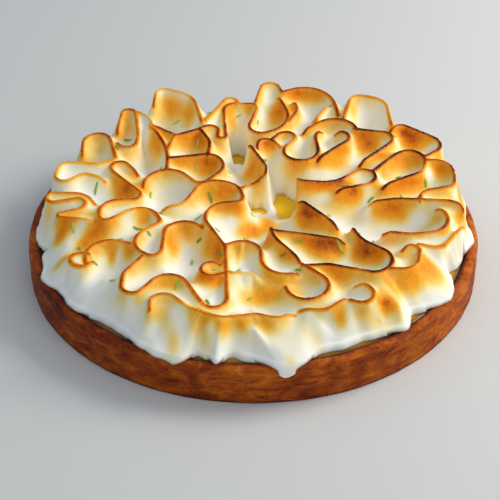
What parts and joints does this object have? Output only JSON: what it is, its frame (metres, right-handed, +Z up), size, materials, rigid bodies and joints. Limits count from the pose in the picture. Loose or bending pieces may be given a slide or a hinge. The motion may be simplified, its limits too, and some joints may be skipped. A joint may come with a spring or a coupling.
{
  "type": "lemon meringue pie",
  "caption": "Round lemon meringue pie: straight-sided tart crust, lemon curd and torched meringue in winding ruffles with lime zest.",
  "frame": {"origin": "middle of the flat underside of the crust, on the surface that the pie stands on", "axes": "+Z up through the middle of the pie, +X to the right and -Y towards the viewer at the front"},
  "size_m": [0.2418, 0.242, 0.0496],
  "materials": {
    "baked_crust": "dry baked shortcrust, browned",
    "curd": "smooth and glossy",
    "torched_meringue": "soft satin, white with torched brown crests",
    "lime_zest": "moist peel"
  },
  "bodies": {
    "root": {"crust": "baked_crust", "lemon_curd": "curd", "meringue": "torched_meringue"}
  },
  "joints": []
}
